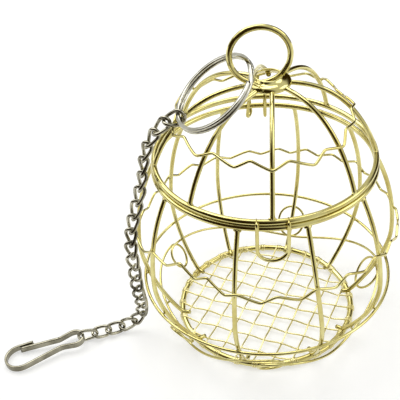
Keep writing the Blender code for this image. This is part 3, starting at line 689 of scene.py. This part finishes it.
# Lid rim: a hoop like the bowl's, just inside its size. Its front rests on the bowl rim and the
# hinge loops hold its back a little higher.
LID_RIM_INSET = 0.00035
LID_RIM_RADIUS = BOWL_RIM_RADIUS - LID_RIM_INSET
LID_TILT = math.radians(1.5)
LID_BEARING = 3.6
LID_SEAM_BEARING = 254.0
LID_LIFT = RIM_WIRE + 2 * LID_RIM_RADIUS * math.sin(LID_TILT)
LID_CENTRE = Vector((0.0, -LID_RIM_RADIUS, 0.0))
hinge_point = on_bearing(LID_BEARING + 180.0, LID_RIM_RADIUS, BOWL_RIM_HEIGHT + LID_LIFT)
hinge_place = Matrix.Translation(hinge_point) @ Matrix.Rotation(math.radians(LID_BEARING), 4, "Z")
hinge_place = hinge_place @ Matrix.Rotation(LID_TILT, 4, "X")
lid_place = hinge_place @ Matrix.Translation(LID_CENTRE)
lid_rim_line = [lid_place @ point for point in hoop(LID_RIM_RADIUS, 0.0)]
lid_rim = seamed_hoop("lid_rim_hoop", lid_rim_line, RIM_WIRE, LID_SEAM_BEARING)
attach(lid_rim, "lid")
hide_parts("lid_rim")


# Lid ribs: eight bent wires from the rim up the dome to the hub, pressed at their lower ends as
# the bowl's are.
LID_DOME_HEIGHT = 0.0286
LID_DOME_FLATNESS = 3.0
LID_DOME_SHOULDER = 0.84
# Bearing of each rib, and how far its middle is dented in.
LID_RIBS = (
    (0.0, 0.0), (45.0, 0.0), (84.0, 0.0), (138.0, 0.0),
    (183.0, 0.0017), (228.0, 0.0), (278.0, 0.0), (318.0, 0.0),
)
HUB_OFFSET = 0.0031
RIB_SEAT_RADIUS = 0.0055
LID_RIB_STEPS = 70


def lid_height(radius):
    share = 1 - (radius / LID_RIM_RADIUS) ** LID_DOME_FLATNESS
    return LID_DOME_HEIGHT * max(share, 0.0) ** LID_DOME_SHOULDER


def lid_point(bearing, radius, height):
    """A point of the dome; the hub stands to the right of the middle, and the dome leans with it."""
    sideways = HUB_OFFSET * (1 - radius / LID_RIM_RADIUS)
    return lid_place @ (on_bearing(bearing, radius, height) + Vector((sideways, 0.0, 0.0)))


lid_rib_end = LID_RIM_RADIUS
while math.hypot(LID_RIM_RADIUS - lid_rib_end, lid_height(lid_rib_end)) < RIM_WIRE / 2:
    lid_rib_end -= CLEARANCE / 100
radii = RIB_SEAT_RADIUS + (lid_rib_end - RIB_SEAT_RADIUS) * np.sin(np.linspace(0.0, math.pi / 2, 160))
lid_outline = evenly([(radius, lid_height(radius)) for radius in radii], LID_RIB_STEPS)[::-1]
lid_rib_lines = []
for number, (bearing, dent) in enumerate(LID_RIBS, start=1):
    line = []
    for step, (radius, height) in enumerate(lid_outline):
        sunk = dent * math.sin(math.pi * step / (LID_RIB_STEPS - 1))
        line.append(lid_point(bearing, radius, height - sunk))
    lid_rib_lines.append(line)
    rib = eared_rib(f"lid_rib_wire_{number}", line)
    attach(rib, "lid")
    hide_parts(f"lid_rib_{number}")


# Lid wave: a second crimped wire, spot-welded round the outside of the lid's ribs, lower at the back
# than at the sides. At the right of the back it runs straight from rib to rib, inside the dome.
LID_WAVE_DEPTH = 0.0017
LID_WAVE_TROUGH = 0.40
# Bearing of each crest, and its distance from the middle as a share of the rim's.
LID_WAVE_CRESTS = (
    (0.1, 0.816), (23.7, 0.822), (46.0, 0.802), (67.0, 0.755), (86.0, 0.735),
    (104.0, 0.690), (121.0, 0.730), (140.0, 0.862), (160.0, 0.885), (181.0, 0.890),
    (202.0, 0.890), (222.0, 0.880), (241.0, 0.805), (262.0, 0.755), (288.0, 0.810),
    (314.4, 0.810), (339.0, 0.808),
)
# The two ribs between which the wire runs straight, and how far that is below the dome.
span_start, span_end = LID_RIBS[2][0], LID_RIBS[3][0]
LID_WAVE_SAG = 0.0042
wave = []
for bearing, share, rise in crimped(LID_WAVE_CRESTS, LID_WAVE_TROUGH):
    radius = share * LID_RIM_RADIUS - LID_WAVE_DEPTH * (1 - rise)
    step = RIB_WIRE / 10
    slope = (lid_height(radius + step) - lid_height(radius - step)) / (2 * step)
    normal = Vector((-slope, 1.0)).normalized() * TRIM_GAP
    height = lid_height(radius) + normal.y
    across_span = (bearing % 360.0 - span_start) / (span_end - span_start)
    if 0 < across_span < 1:
        height -= LID_WAVE_SAG * math.sin(math.pi * across_span)
    wave.append(lid_point(bearing, radius + normal.x, height))
lid_wave_line = softened(wave, passes=1)
lid_wave = closed_wire("lid_crimped_wire", lid_wave_line, TRIM_WIRE, sides=10)
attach(lid_wave, "lid")
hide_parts("lid_wave_wire")

lid_trims = ((lid_wave_line, WELD_REACH),)
lid_welds = make_piece("lid_weld_beads", weld_beads(lid_rib_lines, lid_trims), gold_plate)
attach(lid_welds, "lid")


# Hub washer: a washer stamped from sheet steel into a shallow cone. Its flange, turned down at the
# edge, is welded on the inner ends of the lid ribs, and a lip is rolled round its raised hole.
# Radii of the flat blank, which set where the hanging ring hangs.
HUB_OUTER_RADIUS = 0.00675
HUB_HOLE_RADIUS = 0.0044
HUB_STEPS = 96
# How far the washer was welded to the left of the ribs' middle.
HUB_SHIFT = 0.0011
# Radius and height of the stamped sheet's outline: up over the flange and the cone to the lip,
# and back underneath.
HUB_OUTLINE = (
    (0.00756, -0.00150), (0.00784, -0.00100), (0.00784, -0.00030), (0.00754, 0.00034), (0.00692, 0.00072),
    (0.00616, 0.00090), (0.00556, 0.00112), (0.00518, 0.00150), (0.00498, 0.00184), (0.00474, 0.00208),
    (0.00446, 0.00210), (0.00426, 0.00188), (0.00428, 0.00156), (0.00456, 0.00128), (0.00490, 0.00080),
    (0.00540, 0.00040), (0.00614, 0.00012), (0.00686, -0.00030), (0.00726, -0.00100),
)
hub_height = lid_height(RIB_SEAT_RADIUS) + RIB_WIRE / 2
hub_middle = (HUB_OUTER_RADIUS + HUB_HOLE_RADIUS) / 2
hub_half = (HUB_OUTER_RADIUS - HUB_HOLE_RADIUS) / 2
hub_section = softened([(hub_middle - radius, height) for radius, height in HUB_OUTLINE], passes=1)
hub_line = []
for point in hoop(hub_middle, hub_height, HUB_STEPS):
    hub_line.append(lid_place @ (point + Vector((HUB_OFFSET - HUB_SHIFT, 0.0, 0.0))))
upward = Vector((0.0, 0.0, 1.0))
lid_up = (lid_place.to_3x3() @ upward).normalized()
hub_washer = make_piece("hub_rolled_washer", [
    drawn_along(hub_line, np.array(hub_section), closed=True, upright=lid_up),
], gold_plate)
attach(hub_washer, "lid")
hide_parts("hub_washer")


# Hinge loops: two long loops of wire closed tight round both rims at the back and welded to the
# bowl rim; the lid rim turns in their upper ends, and the left one's foot is splayed.
HINGE_WIRE = 0.0013
HINGE_PLAY = 0.00005
HINGE_LOOP_SPACING = 0.0064
HINGE_LOOP_DROP = 0.0028
HINGE_SPLAYS = {-1: 0.0008, 1: 0.0}
HINGE_STEPS = 48
loop_half = (RIM_WIRE + HINGE_WIRE) / 2 + HINGE_PLAY
loop_radius = (BOWL_RIM_RADIUS + LID_RIM_RADIUS) / 2
loop_place = Matrix.Translation(on_bearing(LID_BEARING + 180.0, loop_radius, BOWL_RIM_HEIGHT))
loop_place = loop_place @ Matrix.Rotation(math.radians(LID_BEARING), 4, "Z")
for name, side in (("left", -1), ("right", 1)):
    line = []
    for step in range(HINGE_STEPS):
        angle = math.tau * (step + 0.5) / HINGE_STEPS
        centre = LID_LIFT if math.sin(angle) > 0 else -HINGE_LOOP_DROP
        across, upright = loop_half * math.cos(angle), centre + loop_half * math.sin(angle)
        sideways = side * HINGE_LOOP_SPACING / 2
        if math.sin(angle) < 0:
            sideways += HINGE_SPLAYS[side] * math.cos(angle)
        line.append(loop_place @ Vector((sideways, across, upright)))
    hinge_loop = closed_wire(f"hinge_wire_{name}", softened(line, passes=1), HINGE_WIRE, sides=12)
    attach(hinge_loop, "bowl")
    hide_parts(f"hinge_loop_{name}")


# Front clasp: a U of wire whose two ends are hammered flat and curled over the lid rim, so that its
# bow swings down before the bowl rim and holds the lid shut.
CLASP_WIRE = 0.0013
CLASP_SPACING = 0.0103
CLASP_LENGTH = 0.0145
CLASP_BEND_HEIGHT = 0.0047
CLASP_HOOK_END = 78.0
CLASP_HOOK_FLATNESS = 0.32
CLASP_HOOK_TAPER = (105.0, 150.0)
CLASP_HOOK_STEPS = 20
CLASP_LEG_STEPS = 8
CLASP_BEND_STEPS = 30
half_space = CLASP_SPACING / 2
rim_front = -math.sqrt(LID_RIM_RADIUS**2 - half_space**2)
bowl_front = -math.sqrt(BOWL_RIM_RADIUS**2 - half_space**2)
hook_reach = rim_front - (bowl_front - RIM_WIRE / 2 - CLASP_WIRE / 2 - CLEARANCE / 2)
hook_rise = RIM_WIRE / 2
hook_turns = np.linspace(CLASP_HOOK_END, 180.0, CLASP_HOOK_STEPS)
leg_girth = list(np.interp(hook_turns, CLASP_HOOK_TAPER, (CLASP_HOOK_FLATNESS, 1.0)))
right_leg = []
for angle in np.radians(hook_turns):
    right_leg.append(Vector((half_space, hook_reach * math.cos(angle), hook_rise * math.sin(angle))))
bend_start = CLASP_LENGTH - CLASP_BEND_HEIGHT
for drop in np.linspace(0.0, bend_start, CLASP_LEG_STEPS + 1)[1:-1]:
    right_leg.append(Vector((half_space, -hook_reach, -drop)))
    leg_girth.append(1.0)
bend = []
for angle in np.linspace(0.0, math.pi, CLASP_BEND_STEPS + 1):
    drop = bend_start + CLASP_BEND_HEIGHT * math.sin(angle)
    bend.append(Vector((half_space * math.cos(angle), -hook_reach, -drop)))
left_leg = [Vector((-point.x, point.y, point.z)) for point in right_leg[::-1]]
clasp_place = hinge_place @ Matrix.Translation(LID_CENTRE + Vector((0.0, rim_front, 0.0)))
clasp_place = clasp_place @ Matrix.Rotation(-LID_TILT, 4, "X")
clasp_line = [clasp_place @ point for point in right_leg + bend + left_leg]
clasp_girth = leg_girth + [1.0] * len(bend) + leg_girth[::-1]
clasp = make_piece("clasp_bow", [
    drawn_along(clasp_line, round_wire(CLASP_WIRE), girth=clasp_girth),
], gold_plate)
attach(clasp, "front_clasp")
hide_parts("front_clasp")


# Hanging ring: a ring of the same plated wire as the rims, butt-welded shut. It passes down the hub's
# hole and up again round its left side, and stands upright with room to tilt.
HANGING_RING_BORE = 0.0092
HANGING_RING_WIRE = 0.0021
HANGING_RING_SIDE = 0.0016
HANGING_RING_BACK = 0.0011
HANGING_RING_STEPS = 120
ring_radius = HANGING_RING_BORE + HANGING_RING_WIRE / 2
ring_rise = math.sqrt((HANGING_RING_BORE - CLEARANCE) ** 2 - (hub_half + HANGING_RING_SIDE) ** 2)
ring_centre = Vector((
    HUB_OFFSET - hub_middle + HANGING_RING_SIDE, HANGING_RING_BACK, hub_height + CLEARANCE + ring_rise,
))
ring_line = []
for step in range(HANGING_RING_STEPS):
    angle = math.tau * step / HANGING_RING_STEPS
    swing = Vector((math.sin(angle), 0.0, -math.cos(angle)))
    ring_line.append(lid_place @ (ring_centre + ring_radius * swing))
hanging_ring = closed_wire("hanging_wire_ring", ring_line, HANGING_RING_WIRE, sides=18)
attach(hanging_ring, "hanging_ring")
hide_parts("hanging_ring")


# Split ring: two close turns of flattened spring wire, nickel-plated, threaded on the hanging ring
# and leaning on the lid. The wire steps from one turn to the other between its two ends.
SPLIT_RING_RADIUS = 0.0152
SPLIT_RING_PITCH = 0.00122
SPLIT_RING_WIDE = 0.00114
SPLIT_RING_DEEP = 0.00150
SPLIT_RING_ROUNDNESS = 0.7
SPLIT_RING_OFFSET = Vector((-0.01522, -0.00886, -0.00870))
SPLIT_RING_NORMAL = Vector((-0.57, -0.21, 0.80))
SPLIT_STEP_BEARING = 227.0
SPLIT_STEP_SPAN = 24.0
SPLIT_RING_STEPS = 240
NICKEL_LIGHT = "#DAD8CD"
NICKEL_DEEP = "#ABA89B"
NICKEL_PATCH_MM = 6.0
# Bright nickel gives the eye a pale grey mirror with sharp light and dark lines.
nickel_plate = plated_steel("nickel_plated_steel", NICKEL_LIGHT, NICKEL_DEEP, NICKEL_PATCH_MM,
                            smooth=0.03, worn=0.12)

split_centre = lid_place @ ring_centre + SPLIT_RING_OFFSET
split_axis = SPLIT_RING_NORMAL.normalized()
split_side = split_axis.cross(upward).normalized()
split_down = split_axis.cross(split_side)


def on_split_ring(bearing, lift):
    angle = math.radians(bearing)
    swing = split_side * math.cos(angle) + split_down * math.sin(angle)
    return split_centre + swing * SPLIT_RING_RADIUS + split_axis * lift


def flattened(deep, wide, roundness, turns):
    """The outline of a flattened wire with its corners rounded, as (across, upright) points."""
    swings, lifts = np.cos(turns), np.sin(turns)
    across = deep / 2 * np.copysign(np.abs(swings) ** roundness, swings)
    return np.stack([across, wide / 2 * np.copysign(np.abs(lifts) ** roundness, lifts)], axis=1)


split_turns = np.arange(18) * math.tau / 18
split_section = flattened(SPLIT_RING_DEEP, SPLIT_RING_WIDE, SPLIT_RING_ROUNDNESS, split_turns)
coil = []
coil_start = SPLIT_STEP_BEARING + SPLIT_STEP_SPAN
for bearing in np.linspace(coil_start, coil_start + 2 * 360.0 - SPLIT_STEP_SPAN, SPLIT_RING_STEPS + 1):
    climb = (bearing - 360.0 - SPLIT_STEP_BEARING) / SPLIT_STEP_SPAN
    coil.append(on_split_ring(bearing, SPLIT_RING_PITCH * (ease(min(max(climb, 0.0), 1.0)) - 0.5)))
split_ring = make_piece("split_spring_ring", [
    drawn_along(coil, split_section, upright=split_axis),
], nickel_plate)
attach(split_ring, "split_ring")
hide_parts("split_ring")


# Chain: 22 twisted curb links of nickel-plated wire. The first link hooks the split ring, the
# chain runs over the lid, hangs down the left side, lies along the floor and ends at the clip.
# It is drawn in the three stretches that move.
LINK_WIRE = 0.0013
LINK_WIDTH = 0.0053
END_LINK_WIDTH = 0.0063
LINK_PITCH = 0.00565
LINK_REACH = 0.0009
LINK_TWIST = 90.0
# How far the links are rolled about the chain, in degrees at shares of its length; where two
# stretches meet they stay square, so that they can swing.
CHAIN_ROLL_SHARES = (0.02, 0.07, 0.24, 0.30, 0.34, 0.44, 0.50, 0.57, 0.68, 0.80, 0.90, 1.0)
CHAIN_ROLLS = (0.0, 30.0, 30.0, 6.0, 6.0, 0.0, -20.0, -48.0, -52.0, -40.0, 0.0, 0.0)
LINK_COUNT = 22
LINK_POINTS = 56
ROUTE_STEPS = 12
RING_HOLD = 0.00089
CHAIN_START_BEARING = 73.0
# The chain's way: over the lid as steps from the split ring; down the side by share of the rim's
# height, bearing and gap to the bowl; along the floor as steps from the foot of the hang, and height.
CHAIN_LID_STEPS = (
    (-0.0053, -0.0008, -0.0013), (-0.0099, -0.0019, -0.0065), (-0.0132, -0.0024, -0.0132),
)
CHAIN_HANG = (
    (1.021, -73.0, 0.0056), (0.903, -71.2, 0.0042), (0.778, -69.6, 0.0047), (0.646, -68.9, 0.0043),
    (0.500, -68.7, 0.0033), (0.361, -69.2, 0.00484), (0.243, -70.6, 0.00716), (0.158, -72.6, 0.01054),
)
CHAIN_FLOOR = (
    (-0.0021, 0.0005, 0.0068), (-0.0060, 0.0005, 0.0035), (-0.0120, -0.0012, 0.0026),
    (-0.0178, -0.0037, 0.0028), (-0.0268, -0.0068, 0.0033),
)
CHAIN_STRETCHES = (("chain_upper", 1, 7), ("chain_lower", 8, 20), ("chain_floor", 21, 22))
LINK_LIGHT = "#C4C0AE"
LINK_DEEP = "#767263"
# The links' nickel is darker and less even than the ring's.
darker_link_plate = plated_steel("darker_link_nickel_plated_steel", LINK_LIGHT, LINK_DEEP, NICKEL_PATCH_MM,
                            smooth=0.05, worn=0.17)

link_bend = (LINK_WIDTH - LINK_WIRE) / 2
end_bend = (END_LINK_WIDTH - LINK_WIRE) / 2
ring_lift = SPLIT_RING_PITCH * (CHAIN_START_BEARING / 360.0 - 0.5)
chain_hook = on_split_ring(CHAIN_START_BEARING, ring_lift)
waypoints = [chain_hook - Vector(CHAIN_LID_STEPS[0]).normalized() * RING_HOLD]
waypoints += [chain_hook + Vector(step) for step in CHAIN_LID_STEPS]
for share, bearing, gap in CHAIN_HANG:
    height = share * BOWL_RIM_HEIGHT
    waypoints.append(on_bearing(bearing, bowl_radius(height) + gap, height))
hang_foot = waypoints[-1]
waypoints += [Vector((hang_foot.x + x, hang_foot.y + y, height)) for x, y, height in CHAIN_FLOOR]

guides = [2 * waypoints[0] - waypoints[1]] + waypoints + [2 * waypoints[-1] - waypoints[-2]]
route = []
for index in range(len(waypoints) - 1):
    p0, p1, p2, p3 = guides[index:index + 4]
    for step in range(ROUTE_STEPS):
        t = step / ROUTE_STEPS
        bend_out = 2 * p0 - 5 * p1 + 4 * p2 - p3
        bend_in = 3 * p1 - p0 - 3 * p2 + p3
        route.append((2 * p1 + t * (p2 - p0) + t * t * bend_out + t**3 * bend_in) / 2)
route.append(waypoints[-1])
joints = [route[0]]
for point in route:
    if len(joints) <= LINK_COUNT and (point - joints[-1]).length >= LINK_PITCH:
        joints.append(joints[-1] + (point - joints[-1]).normalized() * LINK_PITCH)
while len(joints) <= LINK_COUNT:
    joints.append(joints[-1] + (joints[-1] - joints[-2]).normalized() * LINK_PITCH)
link_half = LINK_PITCH / 2 + LINK_REACH


def link_line(bends, twist):
    """A link along X from its start bend to its end bend, with its end turned by twist about X."""
    flat = []
    for side, turn, bend in ((1, -90.0, bends[1]), (-1, 90.0, bends[0])):
        for angle in np.radians(turn + np.linspace(0.0, 180.0, 16)):
            reach = side * (link_half - bend) + bend * math.cos(angle)
            flat.append(Vector((reach, bend * math.sin(angle), 0.0)))
    path = []
    for point in evenly(flat + flat[:1], LINK_POINTS + 1)[:-1]:
        turned_by = math.radians(twist) * (point.x / link_half + 1) / 2
        path.append(Vector((point.x, point.y * math.cos(turned_by), point.y * math.sin(turned_by))))
    return path


axes = [(after - before).normalized() for before, after in zip(joints, joints[1:])]
widths = [split_axis.cross(axes[0]).cross(axes[0]).normalized()]
for before, after in zip(axes, axes[1:]):
    widths.append(before.rotation_difference(after) @ widths[-1])
lying = axes[-1].cross(upward.cross(axes[-1])).normalized()
if widths[-1].dot(lying) < 0:
    lying = -lying
spare = math.copysign(widths[-1].angle(lying), widths[-1].cross(lying).dot(axes[-1]))
links = []
for number in range(1, LINK_COUNT + 1):
    axis = axes[number - 1]
    share = (number - 1) / (LINK_COUNT - 1)
    roll = spare * share + math.radians(np.interp(share, CHAIN_ROLL_SHARES, CHAIN_ROLLS))
    width = Matrix.Rotation(roll, 3, axis) @ widths[number - 1]
    turn = Matrix((axis, width, axis.cross(width))).transposed()
    middle = (joints[number] + joints[number - 1]) / 2
    bends = (end_bend if number == 1 else link_bend, end_bend if number == LINK_COUNT else link_bend)
    twist = 0.0 if number == LINK_COUNT else LINK_TWIST
    line = [middle + turn @ point for point in link_line(bends, twist)]
    links.append(drawn_along(line, round_wire(LINK_WIRE, 12), closed=True))
chain = {}
for name, first, last in CHAIN_STRETCHES:
    chain[name] = make_piece(f"{name}_links", links[first - 1:last], darker_link_plate)
    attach(chain[name], name)
    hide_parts(*[f"chain_link_{number:02d}" for number in range(first, last + 1)])


# Snap clip: one strip of nickel-plated spring steel, bent on edge into an eye round the last link,
# a round nose and a hooked tab; the straight arm springs against the tab and is the gate.
CLIP_STRIP = 0.0010
CLIP_WIDTH = 0.0025
STRIP_ROUNDNESS = 0.35
EYE_HOLD = 0.00106
CLIP_NOSE_RADIUS = 0.0056
CLIP_NOSE_REACH = 0.0260
CLIP_NECK_REACH = 0.0095
CLIP_NECK_HALF = 0.0022
CLIP_EYE_RADIUS = 0.0036
CLIP_HOOK_REACH = 0.0196
CLIP_NOSE_TURN = 100.0
CLIP_BEND_STEPS = 40
CLIP_STEPS = 160
CLIP_HEADING = math.radians(204.2)
STRIP_LIGHT = "#A5A18F"
STRIP_DEEP = "#787464"
# Strip tumbled after stamping and plated has a grey satin sheen and soft edges.
tumbled_strip = plated_steel("tumbled_nickel_plated_strip", STRIP_LIGHT, STRIP_DEEP, NICKEL_PATCH_MM,
                             smooth=0.16, worn=0.34)
eye_back = joints[-1] - axes[-1] * EYE_HOLD
nose_drop = eye_back.z - CLIP_WIDTH / 2 - CLEARANCE / 2
clip_dip = math.asin(nose_drop / (CLIP_NOSE_REACH + CLIP_NOSE_RADIUS))
clip_place = Matrix.Translation(eye_back) @ Matrix.Rotation(CLIP_HEADING, 4, "Z")
clip_place = clip_place @ Matrix.Rotation(clip_dip, 4, "Y")
clip_up = clip_place.to_3x3() @ upward
strip_turns = (np.arange(20) + 0.5) * math.tau / 20
strip_section = flattened(CLIP_STRIP, CLIP_WIDTH, STRIP_ROUNDNESS, strip_turns)


def bent_strip(name, path):
    """A length of the strip, bent on edge along a flat path."""
    line = [clip_place @ Vector((x, y, 0.0)) for x, y in path]
    return make_piece(name, [drawn_along(line, strip_section, upright=clip_up)], tumbled_strip)


eye_turn = math.acos((CLIP_EYE_RADIUS - CLIP_STRIP) / (CLIP_NECK_REACH - CLIP_EYE_RADIUS))
eye = []
for angle in np.linspace(-eye_turn, eye_turn - math.tau, CLIP_BEND_STEPS):
    eye.append((CLIP_EYE_RADIUS * (1 + math.cos(angle)), CLIP_EYE_RADIUS * math.sin(angle)))
nose = []
for angle in np.radians(np.linspace(CLIP_NOSE_TURN, -CLIP_NOSE_TURN, CLIP_BEND_STEPS)):
    nose.append((CLIP_NOSE_REACH + CLIP_NOSE_RADIUS * math.cos(angle), CLIP_NOSE_RADIUS * math.sin(angle)))
tab_end = (CLIP_HOOK_REACH, nose[-1][1] + CLIP_STRIP / 4)
neck = [(CLIP_NECK_REACH, side * CLIP_NECK_HALF) for side in (-1, 1)]
clip_path = neck[:1] + eye + neck[1:] + nose + [tab_end]
clip_body = bent_strip("clip_bent_strip", softened(evenly(clip_path, CLIP_STEPS), passes=12, closed=False))
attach(clip_body, "clip")
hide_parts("clip_body")

gate_tip = (CLIP_NOSE_REACH - CLIP_STRIP, tab_end[1] + CLIP_STRIP + CLEARANCE)
clip_gate = bent_strip("clip_spring_arm", evenly([neck[0], gate_tip], 16))
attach(clip_gate, "clip_gate")
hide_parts("clip_gate")
